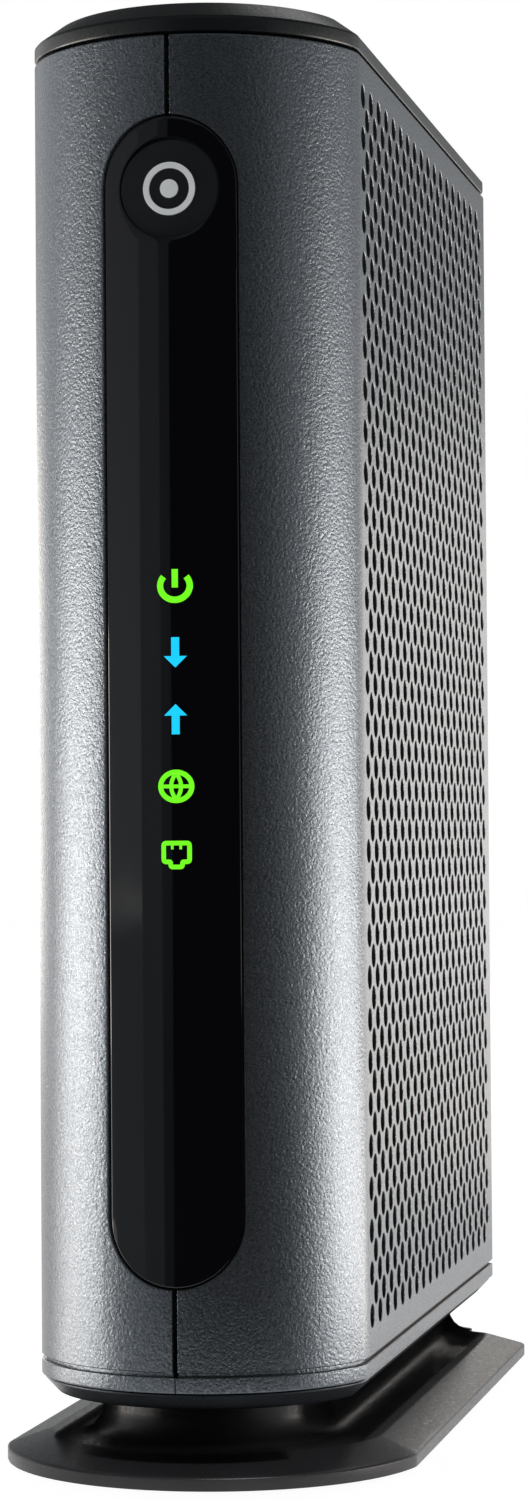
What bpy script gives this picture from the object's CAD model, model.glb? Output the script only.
"""Looks of a free-standing cable modem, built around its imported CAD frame.

Shapes are worked out in millimetres and become metres when a piece is made.
"""
from math import asin, atan2, ceil, cos, dist, hypot, pi, radians, sin, sqrt

import bmesh
import bpy
from mathutils import Matrix, Vector


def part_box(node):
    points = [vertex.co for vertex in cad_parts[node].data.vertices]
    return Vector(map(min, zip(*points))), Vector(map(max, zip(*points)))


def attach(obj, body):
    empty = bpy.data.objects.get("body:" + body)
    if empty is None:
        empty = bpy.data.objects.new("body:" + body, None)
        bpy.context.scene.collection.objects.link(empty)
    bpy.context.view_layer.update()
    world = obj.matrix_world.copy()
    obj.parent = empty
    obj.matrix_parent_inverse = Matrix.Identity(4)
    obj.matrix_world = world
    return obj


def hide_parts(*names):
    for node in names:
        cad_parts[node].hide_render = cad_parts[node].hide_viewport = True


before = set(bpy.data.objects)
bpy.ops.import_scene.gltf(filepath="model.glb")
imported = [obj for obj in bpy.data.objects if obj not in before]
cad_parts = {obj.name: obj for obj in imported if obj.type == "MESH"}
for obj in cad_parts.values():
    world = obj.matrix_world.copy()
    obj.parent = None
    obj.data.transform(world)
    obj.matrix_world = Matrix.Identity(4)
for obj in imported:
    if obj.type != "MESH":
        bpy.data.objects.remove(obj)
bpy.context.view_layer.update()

MM = 0.001
QUARTER = pi / 2


def box_mm(node):
    """Lowest and highest corner of a CAD node, in millimetres."""
    low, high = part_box(node)
    return low / MM, high / MM


# ---- dimensions

shell_low, shell_high = box_mm("right_shell")
grille_low = box_mm("right_grille")[0]
lens_low, lens_high = box_mm("front_lens")
cap_high = box_mm("top_cap")[1]
tray_low = box_mm("bottom_tray")[0]
base_low, base_high = box_mm("stand_base")
disc_low, disc_high = box_mm("emblem_disc")
panel_low = box_mm("rear_panel")[0]

HALF = shell_high.x
SPLIT_WIDER = 0.14  # the photograph's split line is wider than the CAD gap
SPLIT = shell_low.x + SPLIT_WIDER
FRONT_Y = lens_low.y - 0.25
BACK_Y = shell_high.y
SHELL_Z0 = shell_low.z
SHELL_Z1 = shell_high.z
WALL = 2.2
FRONT_R = 22.2
CORNER_R = 9.0
REAR_R = 1.0
FRONT_CY = FRONT_Y + FRONT_R
CORNER_X = HALF - CORNER_R
CORNER_Y = FRONT_CY - sqrt((FRONT_R - CORNER_R) ** 2 - CORNER_X**2)
TURN = atan2(CORNER_X, FRONT_CY - CORNER_Y)
CORNER_LEN = CORNER_R * (QUARTER - TURN)

GROOVE_LOW = 14.05
GROOVE_HIGH = 14.55
GROOVE_DEPTH = 0.6
EDGE = 0.3
LIP = 0.12  # small chamfer at the split line and at the groove

LENS_FLANGE = 1.6
LENS_FIT = 0.18
LENS_RECESS = 0.25
LENS_R = 8.65
LENS_TOP = lens_high.z - LENS_FLANGE - LENS_R
LENS_BOTTOM = lens_low.z + LENS_FLANGE + LENS_R

VENT_R = 1.5
VENT_STEP_Y = 2.84
VENT_STEP_Z = 2.67
VENT_COLUMNS = 36
VENT_ROWS = 30
VENT_SIDES = 20
VENT_LIP = 0.08
GRILLE_GAP = 0.06
VENT_MARGIN_Y = 1.95
VENT_MARGIN_Z = 2.2
VENT_Y0 = grille_low.y - GRILLE_GAP + VENT_MARGIN_Y
VENT_Z0 = grille_low.z - GRILLE_GAP + VENT_MARGIN_Z

EMBLEM_R = (disc_high.x - disc_low.x) / 2 + 0.05
EMBLEM_Z = (disc_high.z + disc_low.z) / 2


# ---- mesh tools


def steps(low, high, count):
    """count + 1 evenly spaced values from low to high."""
    return [low + (high - low) * k / count for k in range(count + 1)]


def circle(radius, sides):
    """Points of a circle round the origin."""
    turns = [2 * pi * k / sides for k in range(sides)]
    return [(radius * cos(t), radius * sin(t)) for t in turns]


def arc(cx, cy, radius, low, high, count):
    """Points of an arc round (cx, cy); angle 0 points down and a quarter turn to the right."""
    return [(cx + radius * sin(a), cy - radius * cos(a))
            for a in steps(low, high, count)]


class Skin:
    """Points and faces of one piece, in millimetres."""

    def __init__(self):
        self.points = []
        self.faces = []

    def grid(self, rows, closed=False):
        """Quads between rows of points; closed joins each row's end to its start."""
        first = len(self.points)
        width = len(rows[0])
        for row in rows:
            self.points.extend(row)
        for j in range(len(rows) - 1):
            for i in range(width if closed else width - 1):
                a = first + j * width + i
                b = first + j * width + (i + 1) % width
                self.faces.append((a, b, b + width, a + width))

    def face(self, points):
        first = len(self.points)
        self.points.extend(points)
        self.faces.append(tuple(range(first, first + len(points))))

    def loft(self, rows):
        """Closed rows joined in turn, with the first and the last one filled."""
        self.grid(rows, closed=True)
        self.face(rows[0][::-1])
        self.face(rows[-1])

    def block(self, low, high):
        """A box between two corners."""
        ring = [(low[0], low[1]), (high[0], low[1]), (high[0], high[1]), (low[0], high[1])]
        self.loft([[(x, y, z) for x, y in ring] for z in (low[2], high[2])])

    def tube(self, place, length, outer, inner):
        """An open tube; place maps (distance along, u across, v across) to a point."""
        profile = [(0, outer), (length, outer), (length, inner), (0, inner)]
        rows = [[place(a, u, v) for u, v in circle(radius, 32)] for a, radius in profile]
        self.grid(rows + rows[:1], closed=True)

    def mirrored(self):
        other = Skin()
        other.points = [(-x, y, z) for x, y, z in self.points]
        other.faces = [face[::-1] for face in self.faces]
        return other


SKIN_WELD = 0.0015
CREASE_ANGLE = radians(38)


def new_object(name, data):
    """An object in the scene that shows a mesh, a light or a camera."""
    made = bpy.data.objects.new(name, data)
    bpy.context.scene.collection.objects.link(made)
    return made


def skin_object(name, skin):
    """An object made of a skin's points and faces, welded and facing outwards."""
    mesh = bpy.data.meshes.new(name)
    work = bmesh.new()
    corners = [work.verts.new((x * MM, y * MM, z * MM)) for x, y, z in skin.points]
    for face in skin.faces:
        work.faces.new([corners[i] for i in face])
    bmesh.ops.remove_doubles(work, verts=work.verts, dist=SKIN_WELD * MM)
    bmesh.ops.dissolve_degenerate(work, dist=SKIN_WELD * MM, edges=work.edges)
    bmesh.ops.recalc_face_normals(work, faces=work.faces)
    work.to_mesh(mesh)
    work.free()
    return new_object(name, mesh)


def make_piece(name, skin, material):
    """Turns a skin into a piece that rides on the housing."""
    piece = skin_object(name, skin)
    finish_surface(piece, material)
    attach(piece, "housing")
    return piece


def weigh_normals(thing):
    """Shading that keeps large faces flat."""
    weighted = thing.modifiers.new("weighted", "WEIGHTED_NORMAL")
    weighted.keep_sharp = True


def finish_surface(piece, material):
    """Smooth shading with creases, normals weighted by area, and the material."""
    mesh = piece.data
    mesh.shade_smooth()
    mesh.set_sharp_from_angle(angle=CREASE_ANGLE)
    weigh_normals(piece)
    mesh.materials.clear()
    mesh.materials.append(material)


def combine(piece, other_skin, operation):
    """Cuts a skin's solid out of a piece, or joins it on."""
    tool = skin_object("tool", other_skin)
    piece.modifiers.remove(piece.modifiers["weighted"])
    change = piece.modifiers.new("change", "BOOLEAN")
    change.object = tool
    change.operation = operation
    change.solver = "EXACT"
    graph = bpy.context.evaluated_depsgraph_get()
    made = bpy.data.meshes.new_from_object(piece.evaluated_get(graph), depsgraph=graph)
    piece.modifiers.remove(change)
    material = piece.data.materials[0]
    piece.data = made
    bpy.data.objects.remove(tool)
    finish_surface(piece, material)


# ---- materials


def set_inputs(node, settings):
    """Sets inputs by name or number, each to a plain value or from a node's output."""
    for key, value in settings.items():
        if isinstance(value, bpy.types.NodeSocket):
            node.id_data.links.new(value, node.inputs[key])
        else:
            node.inputs[key].default_value = value


def add_node(tree, kind, settings):
    node = tree.nodes.new(kind)
    set_inputs(node, settings)
    return node


def node_material(name):
    material = bpy.data.materials.new(name)
    material.use_nodes = True
    tree = material.node_tree
    return material, tree, tree.nodes["Principled BSDF"]


def plain_material(name, settings):
    """A material with nothing but plain values."""
    material, tree, shader = node_material(name)
    set_inputs(shader, settings)
    return material


def object_place(tree):
    """A point's place in the object's own coordinates."""
    return tree.nodes.new("ShaderNodeTexCoord").outputs["Object"]


def noise(tree, scale, detail=2.0, stretch=None):
    """Noise in the object's own coordinates; scale is in features per metre."""
    place = object_place(tree)
    if stretch:
        mapping = add_node(tree, "ShaderNodeMapping", {"Vector": place, "Scale": stretch})
        place = mapping.outputs["Vector"]
    texture = add_node(tree, "ShaderNodeTexNoise",
                       {"Vector": place, "Scale": scale, "Detail": detail})
    return texture.outputs["Fac"]


def ramp(tree, value, low, high, low_colour, high_colour):
    """Colour that runs from low_colour to high_colour as value goes from low to high."""
    node = add_node(tree, "ShaderNodeValToRGB", {"Fac": value})
    stops = zip(node.color_ramp.elements, (low, high), (low_colour, high_colour))
    for stop, position, colour in stops:
        stop.position = position
        stop.color = (*colour, 1)
    return node.outputs["Color"]


def map_range(tree, value, from_low, from_high, to_low, to_high):
    """Value from one range mapped to another."""
    node = add_node(tree, "ShaderNodeMapRange", {
        "Value": value, "From Min": from_low, "From Max": from_high,
        "To Min": to_low, "To Max": to_high,
    })
    return node.outputs["Result"]


def spread(tree, value, low, high):
    """The common range of a noise mapped to low to high."""
    return map_range(tree, value, 0.3, 0.7, low, high)


def arithmetic(tree, operation, value, other=0.0):
    """Result of one step of arithmetic; other is a number or a node's output."""
    node = add_node(tree, "ShaderNodeMath", {0: value, 1: other})
    node.operation = operation
    return node.outputs["Value"]


def bump(tree, height, strength, depth_mm):
    """Normals of a relief; depth_mm is the height of its full range."""
    node = add_node(tree, "ShaderNodeBump",
                    {"Height": height, "Strength": strength, "Distance": depth_mm * MM})
    return node.outputs["Normal"]


def shade(colour, factor):
    """The colour made lighter or darker."""
    return tuple(min(1.0, c * factor) for c in colour)


def surface(name, colour, roughness, grain_mm=0.5, relief=0.3, depth_mm=0.03, vary=0.12,
            metallic=0.0, rough_vary=0.06, stretch=None, ior=1.5):
    """A moulded, cast or plated surface with grain, slight colour change and uneven gloss."""
    material, tree, shader = node_material(name)
    blotches = noise(tree, 90, 4)
    grain = noise(tree, 1000 / grain_mm, 2, stretch)
    darker, lighter = shade(colour, 1 - vary), shade(colour, 1 + vary)
    set_inputs(shader, {
        "Base Color": ramp(tree, blotches, 0.3, 0.7, darker, lighter),
        "Roughness": spread(tree, grain, roughness - rough_vary, roughness + rough_vary),
        "Metallic": metallic,
        "IOR": ior,
        "Normal": bump(tree, grain, relief, depth_mm),
    })
    return material


def painted_shell(name):
    """Grey metallic paint over a fine pebbled moulding; the inside is bare dark plastic."""
    material, tree, shader = node_material(name)
    flakes = noise(tree, 5200, 1)
    paint = ramp(tree, flakes, 0.32, 0.70, (0.064, 0.075, 0.088), (0.152, 0.166, 0.182))
    bare = (0.020, 0.021, 0.023, 1)
    painted = outside_mask(tree)
    colour = tree.nodes.new("ShaderNodeMix")
    colour.data_type = "RGBA"
    share_input, first_input, second_input, colour_output = 0, 6, 7, 2
    set_inputs(colour, {share_input: painted, first_input: bare, second_input: paint})
    pebbles = noise(tree, 2500, 2)
    set_inputs(shader, {
        "Base Color": colour.outputs[colour_output],
        "Metallic": arithmetic(tree, "MULTIPLY", painted, 0.85),
        "Roughness": spread(tree, pebbles, 0.26, 0.36),
        "Normal": bump(tree, pebbles, 1.0, 0.07),
    })
    return material


def outside_mask(tree):
    """1 on the shell's outer face and 0 deeper in: by x on the sides, by y at the front."""
    split = add_node(tree, "ShaderNodeSeparateXYZ", {"Vector": object_place(tree)})
    paint_depth = 0.07
    size = arithmetic(tree, "ABSOLUTE", split.outputs["X"])
    side = arithmetic(tree, "GREATER_THAN", size, (HALF - paint_depth) * MM)
    front = arithmetic(tree, "LESS_THAN", split.outputs["Y"], CORNER_Y * MM)
    return arithmetic(tree, "MAXIMUM", side, front)


def glowing(name, colour):
    """A lit symbol, a little uneven as a light pipe is."""
    material, tree, shader = node_material(name)
    cloud = noise(tree, 900, 1)
    set_inputs(shader, {
        "Emission Color": ramp(tree, cloud, 0.2, 0.8, shade(colour, 0.82), colour),
        "Emission Strength": 1.0,
        "Base Color": (*shade(colour, 0.3), 1),
        "Roughness": 0.3,
    })
    return material


def circuit_board(name):
    """Green solder mask with paler tracks and pads."""
    material, tree, shader = node_material(name)
    tracks = add_node(tree, "ShaderNodeTexVoronoi", {"Vector": object_place(tree), "Scale": 160})
    tracks.distance = "MANHATTAN"
    tracks.feature = "DISTANCE_TO_EDGE"
    edge = tracks.outputs["Distance"]
    set_inputs(shader, {
        "Base Color": ramp(tree, edge, 0.03, 0.07, (0.045, 0.20, 0.085), (0.012, 0.085, 0.035)),
        "Roughness": 0.32,
        "Normal": bump(tree, edge, 0.3, 0.03),
    })
    return material


def clear_plastic(name):
    """Clear acrylic with a slight haze."""
    material, tree, shader = node_material(name)
    set_inputs(shader, {
        "Base Color": (0.93, 0.96, 0.97, 1),
        "Transmission Weight": 0.9,
        "IOR": 1.49,
        "Roughness": spread(tree, noise(tree, 1200, 2), 0.05, 0.14),
    })
    return material


SHELL = painted_shell("shell_paint")
CAP = surface("cap_plastic", (0.006, 0.007, 0.008), 0.31, 0.45, 0.25, 0.03, ior=1.38)
TRAY = surface("tray_plastic", (0.050, 0.057, 0.066), 0.33, 0.40, 0.5, 0.04, metallic=0.8)
STAND = surface("stand_plastic", (0.017, 0.0168, 0.0185), 0.33, 0.45, 0.5, 0.035, vary=0.2,
                ior=1.40)
LENS = surface("lens_gloss", (0.0018, 0.0018, 0.0028), 0.055, 6.0, 0.04, 0.004, rough_vary=0.015)
DISC = surface("emblem_gloss", (0.008, 0.009, 0.010), 0.12, 4.0, 0.05, 0.004, rough_vary=0.02)
MARK = surface("emblem_foil", (0.82, 0.85, 0.86), 0.34, 0.3, 0.1, 0.01, metallic=0.35)
GREEN = glowing("lit_green", (0.16, 0.95, 0.008))
BLUE = glowing("lit_blue", (0.002, 0.59, 0.95))
CLEAR = clear_plastic("clear_acrylic")
SHROUD = surface("shroud_plastic", (0.012, 0.012, 0.012), 0.6)
LED = surface("led_resin", (0.75, 0.70, 0.45), 0.35, 0.3)
BOARD = circuit_board("solder_mask")
CHIP = surface("chip_resin", (0.014, 0.014, 0.015), 0.55, 0.12, 0.3, 0.01)
PAD = surface("thermal_silicone", (0.22, 0.36, 0.5), 0.7, 0.6)
FINS = surface("extruded_aluminium", (0.62, 0.63, 0.65), 0.34, 0.25, 0.25, 0.01, metallic=1.0,
               stretch=(1, 1, 0.08))
TIN = surface("tin_plate", (0.66, 0.66, 0.64), 0.3, 1.5, 0.12, 0.01, metallic=1.0)
SLEEVE = surface("capacitor_sleeve", (0.012, 0.02, 0.06), 0.3, 1.0, 0.1, 0.01)
FERRITE = surface("ferrite", (0.045, 0.045, 0.05), 0.6, 0.2)
STEEL = surface("zinc_steel", (0.6, 0.6, 0.61), 0.28, 0.4, 0.2, 0.01, metallic=1.0)
BLACK_STEEL = surface("black_steel", (0.035, 0.035, 0.04), 0.35, 0.4, 0.25, 0.01, metallic=0.8)
PANEL = surface("panel_plastic", (0.014, 0.014, 0.016), 0.5, 0.35, 0.4, 0.04)
SOCKET = surface("socket_plastic", (0.010, 0.010, 0.011), 0.4, 0.5, 0.15, 0.02)
GOLD = surface("gold_plate", (0.95, 0.66, 0.25), 0.2, 0.8, 0.1, 0.005, metallic=1.0, vary=0.06)
NICKEL = surface("nickel_plate", (0.66, 0.63, 0.58), 0.2, 0.6, 0.15, 0.008, metallic=1.0)
WHITE = surface("white_insulator", (0.80, 0.80, 0.78), 0.45, 0.5, 0.2, 0.02, vary=0.05)
BUTTON = surface("button_plastic", (0.03, 0.03, 0.033), 0.38, 0.4, 0.2, 0.02)
RED = surface("reset_plastic", (0.30, 0.03, 0.02), 0.4, 0.5)
RUBBER = surface("foot_rubber", (0.012, 0.012, 0.012), 0.75, 0.3, 0.5, 0.05)


# ---- shells


def plan_point(u, inset):
    """Point of the body's plan. u is y on the flat side, and goes on round the corner."""
    if u >= CORNER_Y:
        return HALF - inset, u
    along = CORNER_Y - u
    if along <= CORNER_LEN:
        angle = QUARTER - along / CORNER_R
        radius = CORNER_R - inset
        return CORNER_X + radius * sin(angle), CORNER_Y - radius * cos(angle)
    angle = TURN - (along - CORNER_LEN) / FRONT_R
    radius = FRONT_R - inset
    return radius * sin(angle), FRONT_CY - radius * cos(angle)


def u_at_angle(angle):
    """u on the front arc, for an angle from straight ahead."""
    return CORNER_Y - CORNER_LEN - FRONT_R * (TURN - angle)


def u_at_x(x):
    """u on the front arc, for a distance from the middle."""
    return u_at_angle(asin(x / FRONT_R))


def wall_point(column, z, inset):
    """Point of the shell wall; a column is (u, extra inset of a rounded edge)."""
    u, extra = column
    depth = inset + extra if inset < WALL else inset
    x, y = plan_point(u, depth)
    return x, y, z


def wall_points(points, inset):
    """Points of the shell wall from (u, z) pairs."""
    return [wall_point((u, 0), z, inset) for u, z in points]


def lens_angles():
    """Angles round the end of the lens opening, from the split line to its side."""
    first = asin(SPLIT / (LENS_R + EDGE))
    second = asin((SPLIT + LIP) / (LENS_R + EDGE))
    return [first] + steps(second, QUARTER, 14)


def opening_edge(offset, inset, centre_z, end):
    """Points round the top (end 1) or bottom (-1) of the lens opening, offset outwards."""
    radius = LENS_R + offset
    row = []
    for k, angle in enumerate(lens_angles()):
        column = (u_at_x(radius * sin(angle)), LIP if k == 0 else 0)
        row.append(wall_point(column, centre_z + end * radius * cos(angle), inset))
    return row


def vent_ring(y, z, radius=None):
    """Points of one vent's round edge, or else of its rhombic cell, in (u, z)."""
    ring = []
    for c, s in circle(1, VENT_SIDES):
        round_reach = hypot(VENT_STEP_Y * c, VENT_STEP_Z * s)
        reach = round_reach / radius if radius else abs(c) + abs(s)
        ring.append((y + VENT_STEP_Y * c / reach, z + VENT_STEP_Z * s / reach))
    return ring


def vent_places():
    """Centre of every vent: odd columns sit half a row higher and have one vent fewer."""
    for column in range(VENT_COLUMNS):
        odd = column % 2
        for row in range(VENT_ROWS - odd):
            yield VENT_Y0 + column * VENT_STEP_Y, VENT_Z0 + (2 * row + odd) * VENT_STEP_Z


FIELD_Y0 = VENT_Y0 - VENT_STEP_Y
FIELD_Y1 = VENT_Y0 + VENT_COLUMNS * VENT_STEP_Y
FIELD_Z0 = VENT_Z0 - VENT_STEP_Z
FIELD_Z1 = VENT_Z0 + (2 * VENT_ROWS - 1) * VENT_STEP_Z
VENT_Z_TOP = FIELD_Z1 - VENT_STEP_Z
WALL_Z0 = GROOVE_HIGH + LIP
WALL_Z1 = SHELL_Z1 - EDGE
EVEN_COLUMNS = [VENT_Y0 + 2 * k * VENT_STEP_Y for k in range(VENT_COLUMNS // 2)]


def cell_side(y, z, quarter):
    """The points of one side of a vent's cell: quarter 0 is upper rear, and so on round."""
    ring = vent_ring(y, z)
    span = VENT_SIDES // 4
    return [ring[(quarter * span + k) % VENT_SIDES] for k in range(span + 1)]


def field_gaps():
    """The flat pieces between the vents' zigzag edge and the field's straight one, in (u, z)."""
    first, last = VENT_Y0, EVEN_COLUMNS[-1] + VENT_STEP_Y
    right, up = 2 * VENT_STEP_Y, 2 * VENT_STEP_Z
    for y in EVEN_COLUMNS[:-1]:
        yield (cell_side(y, VENT_Z_TOP, 0) + cell_side(y + right, VENT_Z_TOP, 1))[::-1]
        yield (cell_side(y + right, VENT_Z0, 2) + cell_side(y, VENT_Z0, 3))[::-1]
    for row in range(VENT_ROWS - 1):
        z = VENT_Z0 + row * up
        yield cell_side(first, z + up, 2) + cell_side(first, z, 1)
    for row in range(VENT_ROWS - 2):
        z = VENT_Z0 + VENT_STEP_Z + row * up
        yield cell_side(last, z, 0) + cell_side(last, z + up, 3)
    upper = cell_side(last, VENT_Z_TOP - VENT_STEP_Z, 0)
    yield upper + cell_side(last - VENT_STEP_Y, VENT_Z_TOP, 0) + [(FIELD_Y1, FIELD_Z1)]
    lower = cell_side(last - VENT_STEP_Y, VENT_Z0, 3)
    yield lower + cell_side(last, VENT_Z0 + VENT_STEP_Z, 3) + [(FIELD_Y1, FIELD_Z0)]
    yield cell_side(first, VENT_Z0, 2) + [(FIELD_Y0, FIELD_Z0)]
    yield cell_side(first, VENT_Z_TOP, 1) + [(FIELD_Y0, FIELD_Z1)]


def without_repeats(points, apart=1e-4):
    """The points of a closed outline, each one only once."""
    following = points[1:] + points[:1]
    return [p for p, after in zip(points, following) if dist(p, after) > apart]


def shell_columns():
    """Columns of the wall: lens zone, front and corner, vent field, rear edge."""
    lens_zone = []
    for k, angle in enumerate(lens_angles()):
        extra = LIP if k == 0 else 0
        lens_zone.append((u_at_x((LENS_R + EDGE) * sin(angle)), extra))
    edge_angle = asin((LENS_R + EDGE) / FRONT_R)
    front = [(u_at_angle(a), 0) for a in steps(edge_angle, TURN, 18)]
    corner = [(u, 0) for u in steps(CORNER_Y - CORNER_LEN, FIELD_Y0, 7)[1:]]
    field = [(y, 0) for y in [FIELD_Y0] + EVEN_COLUMNS + [FIELD_Y1]]
    rear = [(FIELD_Y1, 0), (BACK_Y - 0.25, 0), (BACK_Y - 0.07, 0.07), (BACK_Y, 0.25)]
    return lens_zone, front + corner, field, rear


def wall_face(skin, inset, vent_radius):
    """The outer or the inner face of the wall, open for the lens and the vents."""
    lens_zone, front, field, rear = shell_columns()
    low_z, high_z = (WALL_Z0, WALL_Z1) if inset == 0 else (SHELL_Z0, SHELL_Z1)

    def strip(columns, zs):
        skin.grid([[wall_point(c, z, inset) for c in columns] for z in zs])

    def upright(odd):
        """Heights on the vent field's first (0) or last (1) edge, with its vents' corners."""
        vents = [VENT_Z0 + (2 * row + odd) * VENT_STEP_Z for row in range(VENT_ROWS - odd)]
        return [low_z, FIELD_Z0] + vents + [FIELD_Z1, high_z]

    skin.grid([
        opening_edge(EDGE, inset, LENS_TOP, 1),
        [wall_point(c, high_z, inset) for c in lens_zone],
    ])
    skin.grid([
        [wall_point(c, low_z, inset) for c in lens_zone],
        opening_edge(EDGE, inset, LENS_BOTTOM, -1),
    ])
    strip(front[:-1], [low_z, LENS_BOTTOM, LENS_TOP, high_z])
    skin.face(
        [wall_point(front[-2], z, inset) for z in (high_z, LENS_TOP, LENS_BOTTOM, low_z)]
        + [wall_point(front[-1], z, inset) for z in upright(0)]
    )
    strip(field, [low_z, FIELD_Z0])
    strip(field, [FIELD_Z1, high_z])
    skin.face(
        [wall_point(rear[0], z, inset) for z in upright(1)]
        + [wall_point(rear[1], z, inset) for z in (high_z, low_z)]
    )
    strip(rear[1:], [low_z, high_z])
    for points in field_gaps():
        skin.face(wall_points(without_repeats(points), inset))
    for y, z in vent_places():
        rings = [vent_ring(y, z), vent_ring(y, z, vent_radius)]
        skin.grid([wall_points(ring, inset) for ring in rings], closed=True)


def band_rows():
    """Cross-sections, as (z, inset), below and above the plain wall."""
    bottom = [
        (SHELL_Z0, WALL), (SHELL_Z0, EDGE), (SHELL_Z0 + EDGE * 0.3, EDGE * 0.3),
        (SHELL_Z0 + EDGE, 0), (GROOVE_LOW - LIP, 0), (GROOVE_LOW, LIP),
        (GROOVE_LOW, GROOVE_DEPTH), (GROOVE_HIGH, GROOVE_DEPTH), (GROOVE_HIGH, LIP),
        (WALL_Z0, 0),
    ]
    top = [(WALL_Z1, 0), (SHELL_Z1 - EDGE * 0.3, EDGE * 0.3), (SHELL_Z1, EDGE), (SHELL_Z1, WALL)]
    return bottom, top


def shell_skin():
    """The right half of the shell with its real vents, groove and lens opening."""
    skin = Skin()
    wall_face(skin, 0, VENT_R + VENT_LIP)
    wall_face(skin, WALL, VENT_R)
    lens_zone, front, field, rear = shell_columns()
    columns = lens_zone + front[1:] + field[1:] + rear[1:]
    bottom, top = band_rows()
    narrow = [(u_at_x(0.05), 0.08), (u_at_x(0.14), 0)] + columns[2:]

    def columns_at(z):
        """The split line is only a hairline below the groove."""
        return narrow if z < GROOVE_LOW - 0.01 else columns

    for rows in (bottom, top):
        skin.grid([[wall_point(c, z, inset) for c in columns_at(z)] for z, inset in rows])
    for y, z in vent_places():
        rim = [(VENT_R + VENT_LIP, 0), (VENT_R, VENT_LIP), (VENT_R, WALL)]
        skin.grid([wall_points(vent_ring(y, z, r), inset) for r, inset in rim], closed=True)

    edge = [(EDGE, 0), (0.09, 0.09), (0, EDGE), (0, WALL - 0.01), (EDGE, WALL)]
    upper = [opening_edge(offset, inset, LENS_TOP, 1) for offset, inset in edge]
    lower = [opening_edge(offset, inset, LENS_BOTTOM, -1) for offset, inset in edge]
    skin.grid(upper)
    skin.grid(lower)
    skin.grid([[a[-1], b[-1]] for a, b in zip(upper, lower)])

    first, last = columns[0], columns[-1]
    skin.face([row[0] for row in upper] + [wall_point(first, z, i) for z, i in top[::-1]])
    skin.face([row[0] for row in lower]
              + [wall_point(columns_at(z)[0], z, i) for z, i in bottom])
    skin.face([wall_point(last, z, i) for z, i in bottom + top])
    return skin


def add_bosses(skin):
    """The four bosses that take the rear panel's screws, two on each half."""
    screw_low, screw_high = box_mm("rear_screws")
    head_r, boss_r, bore_r, length, rib = 2.5, 2.9, 1.2, 8, 0.7
    boss_x = screw_high.x - head_r
    y1 = panel_low.y - 0.05
    y0 = y1 - length
    places = ((screw_low.z + head_r, SHELL_Z0 + 2.9), (screw_high.z - head_r, SHELL_Z1 - 2.0))
    for z, toe in places:
        skin.tube(lambda a, u, v: (boss_x + u, y0 + a, z + v), length, boss_r, bore_r)
        low, high = sorted((z, toe))
        skin.block((boss_x + 2.2, y0, low - rib), (boss_x + 3.3, y1, high + rib))


def add_posts(skin):
    """Stand-offs inside the left half that carry the circuit board."""
    board_low, board_high = box_mm("main_board")
    post_r, bore_r, margin, root = 2.8, 1.1, 4, 0.4
    wall_x = -(HALF - WALL)
    reach = board_low.x - wall_x + root
    for y in (board_low.y + margin, panel_low.y - 13):
        for z in (board_low.z + margin, board_high.z - margin):
            skin.tube(lambda a, u, v: (wall_x - root + a, y + u, z + v), reach, post_r, bore_r)


def build_shells():
    right = shell_skin()
    add_bosses(right)
    left = right.mirrored()
    add_posts(left)
    for side, skin in (("right", right), ("left", left)):
        shell = make_piece(f"{side}_shell_skin", skin, SHELL)
        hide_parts(f"{side}_shell", f"{side}_grille")


# ---- cap, tray and stand


def body_outline(inset):
    """Closed plan of the body, front centre first, as (x, y) points."""
    half = arc(0, FRONT_CY, FRONT_R - inset, 0, TURN, 26)
    half += arc(CORNER_X, CORNER_Y, CORNER_R - inset, TURN, QUARTER, 8)[1:]
    radius = max(REAR_R - inset, 0.05)
    corner_x, corner_y = HALF - inset - radius, BACK_Y - inset - radius
    half += arc(corner_x, corner_y, radius, QUARTER, 2 * QUARTER, 4)
    half.append((0.0, BACK_Y - inset))
    return half + [(-x, y) for x, y in half[-2:0:-1]]


def lofted(outline, rows):
    """A closed skin through (z, inset) pairs, with an outline function for the plan."""
    skin = Skin()
    skin.loft([[(x, y, z) for x, y in outline(inset)] for z, inset in rows])
    return skin


def build_cap():
    """The cap: an upright band, a sloping rim and a flat top, with a step into the shells."""
    z0, z1 = SHELL_Z1, cap_high.z
    band_top = z0 + 2.2
    rows = [
        (z1 - 2.2, 4.2), (z0 - 1.2, 4.2), (z0 - 1.2, 2.5), (z0 + 0.32, 2.5), (z0 + 0.32, 0.3),
        (z0 + 0.38, 0.09), (z0 + 0.6, 0.0), (band_top - 0.35, 0.0), (band_top - 0.1, 0.04),
        (band_top + 0.12, 0.22), (z1 - 0.30, 2.95), (z1 - 0.10, 3.35), (z1 - 0.02, 3.8),
        (z1, 4.3),
    ]
    cap = make_piece("top_cap_skin", lofted(body_outline, rows), CAP)
    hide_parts("top_cap")


def build_tray():
    """The tray under the shells, with its bevel and its step into them."""
    z0, z1 = tray_low.z, SHELL_Z0
    rows = [
        (z1 - 0.4, 3.9), (z1 + 1.6, 3.9), (z1 + 1.6, 2.45), (z1 - 0.12, 2.45), (z1 - 0.12, 0.75),
        (z1 - 0.2, 0.55), (z1 - 0.36, 0.5), (z0 + 0.35, 1.9), (z0 + 0.1, 2.15), (z0, 2.6),
    ]
    tray = make_piece("bottom_tray_skin", lofted(body_outline, rows), TRAY)
    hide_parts("bottom_tray")


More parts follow.
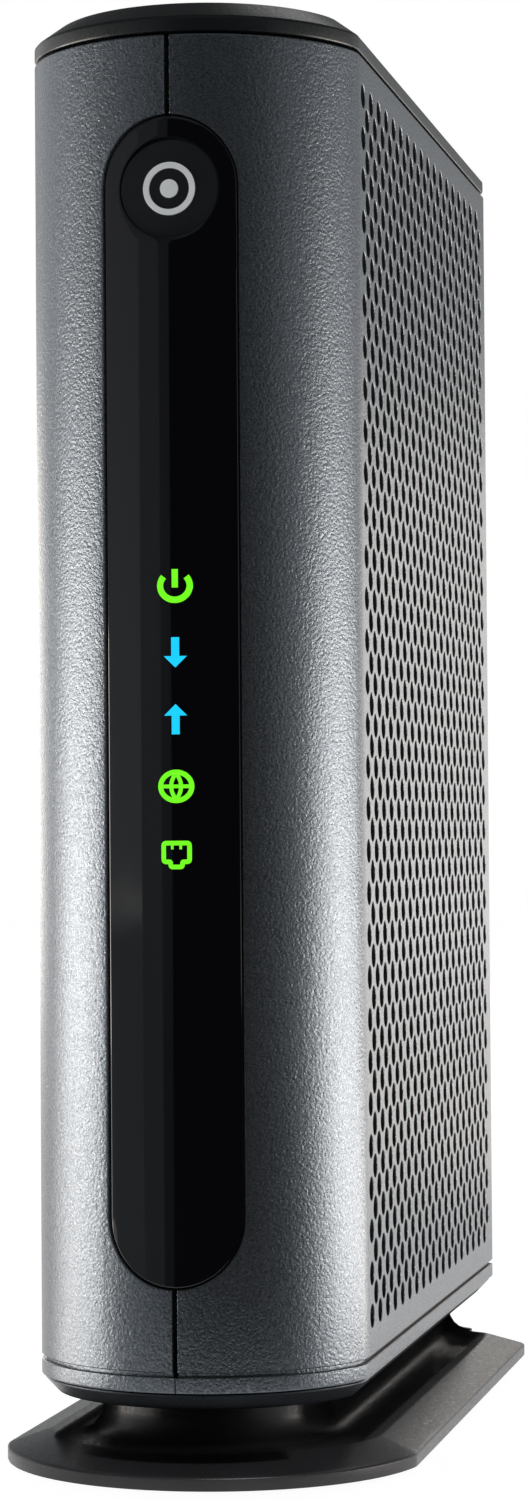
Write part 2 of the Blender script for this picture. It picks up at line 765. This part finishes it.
def rounded(points, radii):
    """Outline with each corner that has a radius turned into a curve."""
    made = []
    for k, radius in enumerate(radii):
        corner = Vector(points[k])
        if not radius:
            made.append((corner.x, corner.y))
            continue
        before = Vector(points[k - 1]) - corner
        after = Vector(points[(k + 1) % len(points)]) - corner
        reach = min(radius, 0.45 * before.length, 0.45 * after.length)
        start = corner + before.normalized() * reach
        end = corner + after.normalized() * reach
        for t in steps(0, 1, 5):
            p = start * (1 - t) ** 2 + corner * 2 * t * (1 - t) + end * t**2
            made.append((p.x, p.y))
    return made


def base_outline(inset):
    """Plan of the stand: wide round front, straight sides, blunt back with cut corners."""
    half = base_high.x - inset
    back = base_high.y
    front_radius = 27.2
    radius = front_radius - inset
    centre_y = base_low.y + front_radius + 0.45 * inset
    reach = asin(half / radius)
    front = arc(0, centre_y, radius, -reach, reach, 48)
    side = [
        (half, back - 9 - inset * 0.4), (half - 8, back - 2.2 - inset * 0.8),
        (half - 16, back - 0.3 - inset),
    ]
    mirror = [(-x, y) for x, y in side[::-1]]
    radii = [1.6] + [0] * (len(front) - 2) + [1.6] + [1.5, 1.5, 2.0, 2.0, 1.5, 1.5]
    return rounded(front + side + mirror, radii)


def pedestal_outline(grow):
    """Plan of the neck between stand and tray: a bar with a round front."""
    neck_half, radius = 15.0, 2.0
    half = neck_half + grow
    y0 = FRONT_Y + 10.5 + neck_half
    y1 = BACK_Y - 2.6 + grow
    outline = arc(0, y0, half, -QUARTER, QUARTER, 32)
    outline += arc(half - radius, y1 - radius, radius, QUARTER, 2 * QUARTER, 4)
    outline += arc(radius - half, y1 - radius, radius, 2 * QUARTER, 3 * QUARTER, 4)
    return outline


def disc_rows(x, y, top, radius):
    """Two round rows of an upright cylinder that starts under the stand."""
    return [[(x + u, y + v, z) for u, v in circle(radius, 48)] for z in (-1, top)]


def build_stand():
    """Plate, neck, pockets for the pads and recesses for the screws."""
    bottom = base_low.z
    rows = [
        (bottom, 0.7), (bottom, 0.2), (bottom + 0.06, 0.05), (bottom + 0.2, 0.0),
        (2.05, 0.0), (2.25, 0.06), (2.4, 0.25), (2.52, 0.6), (3.90, 4.90), (3.97, 5.12),
        (4.0, 5.4), (4.0, 8.0),
    ]
    neck = [
        (3.5, 3.2), (4.0, 3.1), (4.15, 2.3), (4.6, 1.4), (5.3, 0.75), (6.3, 0.25), (7.5, 0.0),
        (9.0, 0.0), (9.45, -0.1), (9.72, -0.3),
    ]
    holes = Skin()
    foot_low, foot_high = box_mm("rubber_feet")
    foot_r, head_r = 5, 3
    for x in (foot_low.x + foot_r, foot_high.x - foot_r):
        for y in (foot_low.y + foot_r, foot_high.y - foot_r):
            holes.loft(disc_rows(x, y, bottom + 0.85, foot_r + 0.1))
    screw_low, screw_high = box_mm("stand_screws")
    for y in (screw_low.y + head_r, screw_high.y - head_r):
        holes.loft(disc_rows(0, y, 3.4, head_r + 0.2))
    stand = make_piece("stand_base_skin", lofted(base_outline, rows), STAND)
    combine(stand, lofted(pedestal_outline, neck), "UNION")
    combine(stand, holes, "DIFFERENCE")
    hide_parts("stand_base")


# ---- lens and symbols


def front_y(x, inset):
    """y of the body's front arc at x, inset from the surface."""
    return FRONT_CY - sqrt((FRONT_R - inset) ** 2 - x * x)


def on_front(x, z, inset):
    """Point of the body's front, inset from the surface."""
    return x, front_y(x, inset), z


LENS_SIDE = LENS_R - LENS_FIT
FACE_OFFSET = -0.22  # where the polished face ends and the rounded edge starts
LENS_CUT_Z = EMBLEM_Z - 10.5
SYMBOL_FRONT = LENS_RECESS - 0.035
SYMBOL_BACK = LENS_RECESS + 0.1
LENS_STEPS = 28
LENS_TURNS = steps(-QUARTER, QUARTER, LENS_STEPS)


def lens_loop(offset, inset):
    """Closed loop round the lens: bottom end, right side, top end, left side."""
    radius = LENS_SIDE + offset
    bottom = arc(0, LENS_BOTTOM, radius, -QUARTER, QUARTER, LENS_STEPS)
    top = arc(0, LENS_TOP, radius, QUARTER, 3 * QUARTER, LENS_STEPS)
    side = steps(LENS_CUT_Z, LENS_TOP, 14)[:-1]
    points = bottom + [(radius, z) for z in side] + top + [(-radius, z) for z in side[::-1]]
    return [on_front(x, z, inset) for x, z in points]


def lens_row(radius, depth, z, end=0):
    """Points across the lens at z; with end -1 or 1 along the curve of its bottom or top."""
    return [on_front(radius * sin(t), z + end * radius * cos(t), depth)
            for t in LENS_TURNS]


def towards_emblem(x, z, radius):
    """Point at a distance from the emblem's centre, on the line to (x, z)."""
    reach = hypot(x, z - EMBLEM_Z)
    return x * radius / reach, (z - EMBLEM_Z) * radius / reach + EMBLEM_Z


def lens_face(skin):
    """The polished face of the lens, with the round well of the emblem disc."""
    radius = LENS_SIDE + FACE_OFFSET
    low_rows = ((LENS_BOTTOM, -1), (LENS_BOTTOM, 0), (LENS_CUT_Z, 0))
    skin.grid([lens_row(radius, LENS_RECESS, z, end) for z, end in low_rows])
    side = steps(LENS_CUT_Z, LENS_TOP, 14)[1:-1]
    outer = [(radius * sin(t), LENS_CUT_Z) for t in LENS_TURNS]
    outer += [(radius, z) for z in side]
    outer += arc(0, LENS_TOP, radius, QUARTER, 3 * QUARTER, LENS_STEPS)
    outer += [(-radius, z) for z in side[::-1]]
    rim = EMBLEM_R + 0.16
    rings = []
    for t in steps(0, 1, 6):
        ring = []
        for x, z in outer:
            cx, cz = towards_emblem(x, z, rim)
            ring.append(on_front(x + (cx - x) * t, z + (cz - z) * t, LENS_RECESS))
        rings.append(ring)
    skin.grid(rings, closed=True)
    well = []
    for radius_in, drop in ((rim, 0), (EMBLEM_R + 0.04, 0.05), (EMBLEM_R, 0.16), (EMBLEM_R, None)):
        ring = []
        for x, z in outer:
            px, pz = towards_emblem(x, z, radius_in)
            y = disc_high.y if drop is None else front_y(px, LENS_RECESS + drop)
            ring.append((px, y, pz))
        well.append(ring)
    skin.grid(well, closed=True)
    skin.face(well[-1])


def lens_back(skin):
    """The rounded edge of the lens and the side that faces the light pipes."""
    depth = WALL + 0.1
    edge = [(FACE_OFFSET, LENS_RECESS), (-0.07, LENS_RECESS + 0.06), (0, LENS_RECESS + 0.22),
            (0, depth)]
    skin.grid([lens_loop(offset, inset) for offset, inset in edge], closed=True)
    rows = ((LENS_BOTTOM, -1), (LENS_BOTTOM, 0), (LENS_CUT_Z, 0), (LENS_TOP, 0), (LENS_TOP, 1))
    skin.grid([lens_row(LENS_SIDE, depth, z, end) for z, end in rows])


def lens_flange():
    """The thin wider plate that holds the lens behind the shells."""
    flange = Skin()
    radius = LENS_R + LENS_FLANGE
    loops = []
    for depth in (WALL + 0.12, WALL + 1.1):
        low = lens_row(radius, depth, LENS_BOTTOM, -1)
        high = lens_row(radius, depth, LENS_TOP, 1)
        flange.grid([low, high])
        loops.append(low + high[::-1])
    flange.grid(loops, closed=True)
    return flange


def build_lens():
    skin = Skin()
    lens_face(skin)
    lens_back(skin)
    flange = lens_flange()
    lens = make_piece("front_lens_skin", skin, LENS)
    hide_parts("front_lens")
    plate = make_piece("lens_flange", flange, LENS)


def raised(points):
    """Cross-section of a mark that stands proud of the lens, with its sides sunk into it."""
    top = [on_front(*p, SYMBOL_FRONT) for p in points]
    return [on_front(*points[0], SYMBOL_BACK)] + top + [on_front(*points[-1], SYMBOL_BACK)]


def stroke(skin, points, width, closed=False, step=0.25):
    """A raised line of even width along points in (x, z), wrapped onto the lens."""
    path = [Vector(p) for p in points]
    if closed:
        path.append(path[0])
    fine = []
    for a, b in zip(path, path[1:]):
        count = max(1, ceil((b - a).length / step))
        fine.extend(a.lerp(b, k / count) for k in range(count))
    if closed:
        fine = [fine[-1]] + fine + [fine[0]]
    else:
        fine = [2 * fine[0] - fine[1]] + fine + [path[-1], 2 * path[-1] - fine[-1]]
    ring = []
    for before, here, after in zip(fine, fine[1:], fine[2:]):
        outgoing = (after - here).normalized()
        along = ((here - before).normalized() + outgoing).normalized()
        stretch = 1 / max(0.5, abs(along.dot(outgoing)))
        offset = Vector((-along.y, along.x)) * (width / 2 * stretch)
        ring.append(raised([here - offset, here + offset]))
    if closed:
        ring.append(ring[0])
    skin.grid(ring, closed=True)
    if not closed:
        skin.face(ring[0])
        skin.face(ring[-1][::-1])


def arc_points(radius, low, high, count=28):
    """Points of an arc round the origin, with angles in degrees clockwise from the top."""
    turns = [radians(a) for a in steps(low, high, count)]
    return [(radius * sin(t), radius * cos(t)) for t in turns]


def power_symbol(skin, x, z):
    """A ring, open at the top, with a bar in the opening."""
    line, wider = 0.78, 1.07
    stroke(skin, [(x + wider * a, z + b) for a, b in arc_points(1.74, 50, 310)], line)
    stroke(skin, [(x, z - 0.22), (x, z + 2.05)], line)


def arrow_symbol(skin, x, z, sign):
    """An arrow of one stem and a solid head; sign 1 points up and -1 down."""
    stroke(skin, [(x, z - sign * 1.85), (x, z + sign * 0.47)], 1.0)
    rows = []
    for t in steps(0, 1, 6):
        reach = 1.43 * (1 - t) + 0.02
        level = z + sign * (0.46 + 1.39 * t)
        rows.append(raised([(x - reach, level), (x, level), (x + reach, level)]))
    skin.loft(rows)


def globe_symbol(skin, x, z):
    """A ring a little wider than high, one level line and two bowed upright lines."""
    wider, half_line, bulge, pole = 1.12, 1.8, 0.62, 1.62
    ring = arc_points(1.75, 0, 360, 40)[:-1]
    stroke(skin, [(x + wider * a, z + b) for a, b in ring], 0.62, closed=True)
    stroke(skin, [(x - half_line, z), (x + half_line, z)], 0.46)
    for side in (-1, 1):
        bow = [(x + side * bulge * (1 - (level / pole) ** 2), z + level)
               for level in steps(-1.5, 1.5, 20)]
        stroke(skin, bow, 0.50)


def port_symbol(skin, x, z):
    """The outline of a network socket with two of its contacts."""
    outline = [(-1.62, 1.47), (1.62, 1.47), (1.62, -0.83), (0.74, -0.83), (0.74, -1.46),
               (-0.74, -1.46), (-0.74, -0.83), (-1.62, -0.83)]
    radii = [0.34, 0.34, 0.34, 0.2, 0.3, 0.3, 0.2, 0.34]
    stroke(skin, [(x + a, z + b) for a, b in rounded(outline, radii)], 0.57, closed=True)
    for dx in (-0.53, 0.53):
        stroke(skin, [(x + dx, z + 1.4), (x + dx, z + 0.70)], 0.32)


def build_symbols():
    """The five lit symbols, each where its CAD node is."""
    symbols = [
        ("icon_power", power_symbol, (), GREEN, "icon_green"),
        ("icon_downstream", arrow_symbol, (-1,), BLUE, "icon_blue"),
        ("icon_upstream", arrow_symbol, (1,), BLUE, "icon_blue"),
        ("icon_online", globe_symbol, (), GREEN, "icon_green"),
        ("icon_ethernet", port_symbol, (), GREEN, "icon_green"),
    ]
    for node, draw, extra, material, slot in symbols:
        low, high = box_mm(node)
        skin = Skin()
        draw(skin, (low.x + high.x) / 2, (low.z + high.z) / 2, *extra)
        symbol = make_piece(f"{node}_glow", skin, material)
        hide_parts(node)


# ---- rear connectors


STUD_SIDES = 48
THREAD_LENGTH = 5.9
THREAD_CREST = 4.70
THREAD_ROOT = 4.30
THREAD_PITCH = 0.794
STUD_R = 4.28
STUD_BORE = 3.3


def thread_rows(length):
    """(distance along, radius of each side) of the thread, which fades out at both ends."""
    count = round(length / (THREAD_PITCH / 6))
    for j in range(count + 1):
        along = length * j / count
        fade = min(1, (count - j) / 4, j / 4)
        row = []
        for k in range(STUD_SIDES):
            turn = (along / THREAD_PITCH + k / STUD_SIDES) % 1
            tooth = 1 - abs(2 * turn - 1)
            row.append(THREAD_ROOT + (THREAD_CREST - THREAD_ROOT) * tooth * fade)
        yield along, row


def build_coax():
    """Threaded stud of the cable connector, with its square body behind the panel."""
    low, high = box_mm("coax_barrel")
    x, z = (low.x + high.x) / 2, (low.z + high.z) / 2
    tip = high.y
    start = tip - THREAD_LENGTH
    unit = circle(1, STUD_SIDES)
    rows = []
    for along, radii in thread_rows(tip - 0.7 - start):
        rows.append([(x + r * u, start + along, z + r * v) for r, (u, v) in zip(radii, unit)])
    tail = [
        (tip - 0.45, STUD_R), (tip - 0.05, 3.98), (tip, 3.85), (tip, 3.45), (tip - 0.15, 3.32),
        (panel_low.y - 8, STUD_BORE + 0.01), (panel_low.y - 8, STUD_R), (start - 0.1, STUD_R),
    ]
    for y, radius in tail:
        rows.append([(x + radius * u, y, z + radius * v) for u, v in unit])
    skin = Skin()
    skin.grid(rows + rows[:1], closed=True)
    block_front = panel_low.y - 0.1
    block_half, block_depth = 6, 12
    skin.block((x - block_half, block_front - block_depth, z - block_half),
               (x + block_half, block_front, z + block_half))
    barrel = make_piece("coax_barrel_threaded", skin, NICKEL)
    bore = Skin()
    bore.loft([[(x + u, y, z + v) for u, v in circle(STUD_BORE, STUD_SIDES)]
               for y in (panel_low.y - 9, block_front + 1)])
    combine(barrel, bore, "DIFFERENCE")
    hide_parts("coax_barrel")


# ---- carried-over nodes

NODE_LOOKS = {
    "emblem_disc": (DISC, 0.03), "emblem_mark": (MARK, 0.06), "light_guides": (CLEAR, 0.15),
    "light_shroud": (SHROUD, 0.15), "indicator_leds": (LED, 0.1), "main_board": (BOARD, 0.1),
    "soc_chip": (CHIP, 0.12), "thermal_pad": (PAD, 0.08), "heatsink": (FINS, 0.15),
    "memory_chip": (CHIP, 0.12), "flash_chip": (CHIP, 0.12), "tuner_frame": (TIN, 0.0),
    "tuner_lid": (TIN, 0.0), "tuner_chip": (CHIP, 0.12), "magnetics": (CHIP, 0.25),
    "crystal": (TIN, 0.2), "capacitors": (SLEEVE, 0.4), "inductors": (FERRITE, 0.3),
    "board_screws": (STEEL, 0.15), "rear_screws": (BLACK_STEEL, 0.12),
    "rear_panel": (PANEL, 0.18), "rj45_housing": (SOCKET, 0.1), "rj45_shield": (TIN, 0.06),
    "rj45_contacts": (GOLD, 0.03), "coax_nut": (NICKEL, 0.2), "coax_washer": (TIN, 0.1),
    "coax_insulator": (WHITE, 0.1), "coax_contact": (GOLD, 0.05), "dc_jack_body": (SOCKET, 0.15),
    "dc_jack_pin": (NICKEL, 0.0), "dc_jack_spring": (TIN, 0.05), "power_button": (BUTTON, 0.25),
    "power_plunger": (WHITE, 0.15), "power_switch": (SOCKET, 0.2), "reset_plunger": (RED, 0.1),
    "reset_switch": (SOCKET, 0.2), "stand_screws": (STEEL, 0.15), "rubber_feet": (RUBBER, 0.15),
}
NODE_WELD = 0.002


def dress_node(name, material, edge_mm):
    """Gives a CAD node its material and softly rounded edges."""
    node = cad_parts[name]
    node.data.materials.clear()
    node.data.materials.append(material)
    weld = node.modifiers.new("weld", "WELD")
    weld.merge_threshold = NODE_WELD * MM
    if edge_mm:
        round_edges = node.modifiers.new("edges", "BEVEL")
        round_edges.width = edge_mm * MM
        round_edges.segments = 2
        round_edges.limit_method = "ANGLE"
        round_edges.angle_limit = radians(35)
    weigh_normals(node)


# ---- stage


def make_camera():
    """Camera a little to the right of the front, low and close, as in the photograph."""
    data = bpy.data.cameras.new("camera")
    data.sensor_fit = "AUTO"
    data.sensor_width = 36
    data.lens = 87.43
    data.clip_start = 0.01
    data.clip_end = 50
    camera = new_object("camera", data)
    place = (0.10330, -0.49915, 0.08041)
    look = Vector((-0.205468, 0.978387, 0.023288)).normalized()
    right = look.cross(Vector((0, 0, 1))).normalized()
    up = right.cross(look)
    roll = 0.00716
    turned_right = right * cos(roll) - up * sin(roll)
    turned_up = up * cos(roll) + right * sin(roll)
    columns = (turned_right, turned_up, -look, place)
    camera.matrix_world = Matrix([[c[k] for c in columns] for k in range(3)] + [(0, 0, 0, 1)])
    bpy.context.scene.camera = camera


CARD_HIDES = ("camera", "diffuse", "shadow")


def stage_mesh(name, points, faces, material, hidden_from=CARD_HIDES):
    """A mesh of the studio and not of the object; as it is, it shows only in glossy surfaces."""
    mesh = bpy.data.meshes.new(name)
    mesh.from_pydata(points, [], faces)
    mesh.materials.append(material)
    card = new_object(name, mesh)
    for rays in hidden_from:
        setattr(card, f"visible_{rays}", False)
    return card


def flat_card(name, centre, size, normal, material, hidden_from=CARD_HIDES):
    """A rectangle that faces along its normal."""
    w, h = size[0] / 2, size[1] / 2
    corners = [(-w, -h, 0), (w, -h, 0), (w, h, 0), (-w, h, 0)]
    card = stage_mesh(name, corners, [(0, 1, 2, 3)], material, hidden_from)
    card.rotation_mode = "QUATERNION"
    card.rotation_quaternion = Vector(normal).to_track_quat("Z", "Y")
    card.location = centre


def floor_sector(name, low_azimuth, high_azimuth, near, far, material):
    """A sector of floor round the front of the body, so that its mirror image is upright."""
    front_y_m, height, parts = -0.06, 0.003, 8
    low, high = radians(low_azimuth), radians(high_azimuth)
    points = [(x, y, height) for reach in (near, far)
              for x, y in arc(0, front_y_m, reach, low, high, parts)]
    quads = [(k, k + 1, parts + k + 2, parts + k + 1) for k in range(parts)]
    stage_mesh(name, points, quads, material)


def gap_shade(material):
    """Unseen black band round the gap over the stand, open at the front corners."""
    outline = body_outline(1.0)
    points = [(x * MM, y * MM, z * MM) for z in (4.2, 9.5) for x, y in outline]
    count = len(outline)
    quads = []
    for k in range(count):
        after = (k + 1) % count
        x = abs(outline[k][0] + outline[after][0]) / 2
        y = (outline[k][1] + outline[after][1]) / 2
        if not (x > 13 and y < -45):
            quads.append((k, after, count + after, count + k))
    stage_mesh("gap_shade", points, quads, material, hidden_from=("camera",))


def soft_box(name, azimuth, distance, height, size, power, colour=(1, 1, 1)):
    """An area light that faces the object; azimuth 0 is in front and 90 on the right."""
    data = bpy.data.lights.new(name, "AREA")
    data.shape = "RECTANGLE"
    data.size, data.size_y = size
    data.energy = power
    data.color = colour
    light = new_object(name, data)
    turn = radians(azimuth)
    place = Vector((sin(turn) * distance, -cos(turn) * distance, height))
    body_middle = Vector((0, 0, 0.07))
    light.location = place
    light.rotation_mode = "QUATERNION"
    light.rotation_quaternion = (body_middle - place).to_track_quat("-Z", "Y")
    return light


WARM = (1.0, 0.93, 0.86)
COOL = (0.86, 0.97, 1.0)


def glow_card(name, strength, colour=WARM):
    """Material of a card that glows."""
    return plain_material(name, {
        "Emission Color": (*colour, 1), "Emission Strength": strength,
        "Base Color": (0, 0, 0, 1),
    })


def make_floor():
    """White floor, seen by every ray."""
    material, tree, shader = node_material("floor_paper")
    fibres = noise(tree, 40, 3)
    set_inputs(shader, {
        "Base Color": ramp(tree, fibres, 0.3, 0.7, (0.17, 0.17, 0.17), (0.20, 0.20, 0.20)),
        "Roughness": 0.9,
        "Specular IOR Level": 0.1,
        "Emission Color": (1, 1, 1, 1),
        "Emission Strength": 0.955,
    })
    flat_card("floor", (0, 0, 0), (8, 8), (0, 0, 1), material, hidden_from=())


def make_cards():
    """What the glossy lens, cap and stand mirror."""
    dark = {"Base Color": (0.005, 0.005, 0.005, 1), "Roughness": 1.0}
    black = plain_material("black_flag", dark)
    backwards, upwards = (0, 1, 0), (0, 0, 1)
    wall_y = -1.0
    flat_card("front_flag", (0.626, wall_y, 0.25), (1.69, 0.7), backwards, black)
    walls = [
        ("front_upper", 0.22, (0.626, wall_y, 1.35), (1.69, 1.5)),
        ("fade_near", 0.11, (-0.28, wall_y, 1.0), (0.125, 2.2)),
        ("fade_far", 0.23, (-0.488, wall_y, 1.0), (0.292, 2.2)),
    ]
    for name, strength, centre, size in walls:
        flat_card(name, centre, size, backwards, glow_card(name, strength, COOL))
    floor_sector("floor_flag", -13.2, 82, 0.05, 1.3, black)
    sectors = [
        ("floor_near", -20, -13.2, 0.07, 1.2, 0.09, COOL),
        ("floor_far", -34, -20, 0.07, 1.3, 0.22, COOL),
        ("floor_side", -58, -34, 0.07, 3.0, 0.30, COOL),
        ("left_bounce", -112, -68, 0.05, 1.5, 5.0, WARM),
        ("right_bounce", 98, 144, 0.11, 0.95, 7.6, WARM),
    ]
    for name, low, high, near, far, strength, colour in sectors:
        floor_sector(name, low, high, near, far, glow_card(name, strength, colour))
    gap_shade(black)
    flat_card("back_bounce", (0.20, 0.55, 0.003), (0.36, 0.50), upwards, glow_card("back", 1.6))


def make_lights():
    """Soft boxes; some of them light only the stand, and some all but the stand."""
    stand = bpy.data.objects["stand_base_skin"]
    stand_only = bpy.data.collections.new("stand_only")
    stand_only.objects.link(stand)
    others = bpy.data.collections.new("all_but_stand")
    others.objects.link(stand)
    others.collection_objects[0].light_linking.link_state = "EXCLUDE"
    low_box, rear_box, high_box = (0.62, 0.20), (1.0, 0.36), (0.5, 0.5)
    boxes = [
        ("left_box", -79, 0.9, 0.055, low_box, 4.9, WARM, others),
        ("right_box", 101, 0.9, 0.05, (0.56, 0.20), 4.1, WARM, None),
        ("left_fill", -112, 1.3, 0.40, (1.5, 0.70), 2.0, (1, 1, 1), None),
        ("right_fill", 122, 1.3, 0.40, (1.2, 0.70), 0.7, (1, 1, 1), None),
        ("back_box", 162, 1.3, 0.10, rear_box, 1.5, WARM, others),
        ("back_left_box", -150, 1.3, 0.10, rear_box, 3.2, WARM, others),
        ("rim_box", 176, 1.3, 0.31, (0.9, 0.14), 0.85, WARM, stand_only),
        ("stand_top_box", 24, 0.9, 0.95, high_box, 9.0, (1, 1, 1), stand_only),
        ("top_box", 170, 1.0, 1.3, high_box, 1.0, (1, 1, 1), None),
    ]
    for name, azimuth, distance, height, size, power, colour, lit in boxes:
        light = soft_box(name, azimuth, distance, height, size, power, colour)
        if lit:
            light.light_linking.receiver_collection = lit


def make_world():
    """A weak sky that is darker towards the top, and plain white where the camera sees it."""
    world = bpy.data.worlds.new("studio")
    world.use_nodes = True
    bpy.context.scene.world = world
    tree = world.node_tree
    direction = tree.nodes.new("ShaderNodeTexCoord").outputs["Generated"]
    split = add_node(tree, "ShaderNodeSeparateXYZ", {"Vector": direction})
    strength = map_range(tree, split.outputs["Z"], 0.02, 0.55, 0.52, 0.12)
    sky = tree.nodes["Background"]
    set_inputs(sky, {"Color": (0.95, 0.98, 1.0, 1), "Strength": strength})
    backdrop = add_node(tree, "ShaderNodeBackground", {"Color": (1, 1, 1, 1)})
    path = tree.nodes.new("ShaderNodeLightPath")
    mix = add_node(tree, "ShaderNodeMixShader", {
        "Fac": path.outputs["Is Camera Ray"],
        1: sky.outputs["Background"],
        2: backdrop.outputs["Background"],
    })
    set_inputs(tree.nodes["World Output"], {"Surface": mix.outputs["Shader"]})
    view = bpy.context.scene.view_settings
    view.view_transform = "Standard"
    view.look = "None"


make_camera()
build_shells()
build_cap()
build_tray()
build_stand()
build_lens()
build_symbols()
build_coax()
for node_name, (node_look, node_edge) in NODE_LOOKS.items():
    dress_node(node_name, node_look, node_edge)
make_floor()
make_cards()
make_lights()
make_world()
